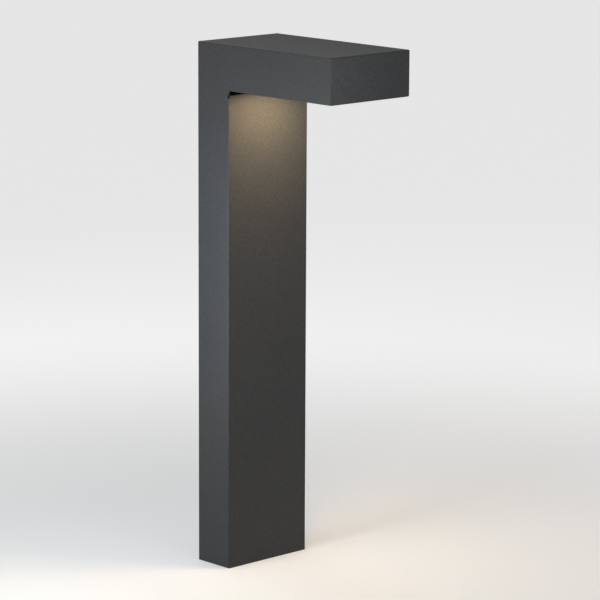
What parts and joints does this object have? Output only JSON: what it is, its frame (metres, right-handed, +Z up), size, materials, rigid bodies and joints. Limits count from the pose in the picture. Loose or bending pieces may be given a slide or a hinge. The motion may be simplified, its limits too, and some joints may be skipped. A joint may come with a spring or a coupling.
{
  "type": "bollard light",
  "caption": "Bollard light: a flat rectangular column turning at a right angle into a flat head whose hidden LED window lights the column face and the path.",
  "frame": {"origin": "centre of the column's foot on the ground, which is also the centre of the anchor holes", "axes": "+Z up, -Y towards the head's nose (the lit face of the column looks to -Y), X across the width"},
  "size_m": [0.14, 0.25, 0.7],
  "materials": {
    "shell_coat": "fine textured charcoal powder coat",
    "shell_inside": "charcoal powder coat",
    "lens_glass": "satin toughened glass",
    "seal_rubber": "black silicone and EPDM",
    "cast_frame": "black anodised die casting",
    "zinc_steel": "zinc plated steel",
    "bright_reflector": "bright anodised",
    "board_white": "white solder mask",
    "led_phosphor": "phosphor",
    "pad_grey": "thermal silicone",
    "sink_alloy": "extruded, as cut",
    "white_plastic": "moulded",
    "gland_metal": "nickel plated brass",
    "terminal_plastic": "moulded grey",
    "lever_orange": "moulded",
    "copper_bar": "tinned copper",
    "driver_plastic": "moulded black",
    "board_green": "green solder mask",
    "brown_lead": "PVC insulation",
    "blue_lead": "PVC insulation",
    "earth_lead": "PVC insulation",
    "black_lead": "rubber sheath"
  },
  "bodies": {
    "light": {"base_plate": "zinc_steel", "board_socket": "white_plastic", "bracket_nuts": "zinc_steel", "cable_grommet": "seal_rubber", "column_front": "shell_coat", "driver_board": "board_green", "driver_capacitors": "driver_plastic", "driver_case": "driver_plastic", "driver_cover": "driver_plastic", "driver_lead": "black_lead", "driver_screws": "zinc_steel", "driver_transformer": "zinc_steel", "earth_lead": "earth_lead", "earth_nut": "zinc_steel", "earth_stud": "zinc_steel", "foot_gasket": "seal_rubber", "frame_nuts": "zinc_steel", "frame_studs": "zinc_steel", "gear_tray": "zinc_steel", "gland_body": "gland_metal", "gland_locknut": "gland_metal", "gland_nut": "gland_metal", "gland_seal": "seal_rubber", "gland_shelf": "zinc_steel", "heat_sink": "sink_alloy", "heat_sink_screws": "zinc_steel", "knee_angle": "shell_inside", "lamp_lead": "black_lead", "lamp_plug": "driver_plastic", "lamp_socket": "driver_plastic", "lead_clips": "driver_plastic", "led_board": "board_white", "led_chips": "led_phosphor", "left_side_plate": "shell_coat", "lens": "lens_glass", "lens_frame": "cast_frame", "lens_gasket": "seal_rubber", "live_lead": "brown_lead", "neutral_lead": "blue_lead", "outer_wrap": "shell_coat", "reflector": "bright_reflector", "right_side_plate": "shell_coat", "ring_terminal": "copper_bar", "shelf_rivets": "zinc_steel", "shell_bracket": "zinc_steel", "shell_screws": "shell_coat", "soffit_brackets": "shell_inside", "soffit_plate": "shell_coat", "soffit_screws": "shell_coat", "standoffs": "zinc_steel", "terminal_bars": "copper_bar", "terminal_block": "terminal_plastic", "terminal_screws": "zinc_steel", "thermal_pad": "pad_grey", "tray_screws": "zinc_steel"},
    "line_clamp": {"line_lever": "lever_orange"},
    "neutral_clamp": {"neutral_lever": "lever_orange"},
    "earth_clamp": {"earth_lever": "lever_orange"}
  },
  "joints": [
    {"name": "line_lever_hinge", "type": "hinge", "parent": "light", "child": "line_clamp", "pos_m": [-0.015, -0.0025, 0.125], "axis": [-1, 0, 0], "range_deg": [0, 90]},
    {"name": "neutral_lever_hinge", "type": "hinge", "parent": "light", "child": "neutral_clamp", "pos_m": [0, -0.0025, 0.125], "axis": [-1, 0, 0], "range_deg": [0, 90]},
    {"name": "earth_lever_hinge", "type": "hinge", "parent": "light", "child": "earth_clamp", "pos_m": [0.015, -0.0025, 0.125], "axis": [-1, 0, 0], "range_deg": [0, 90]}
  ]
}
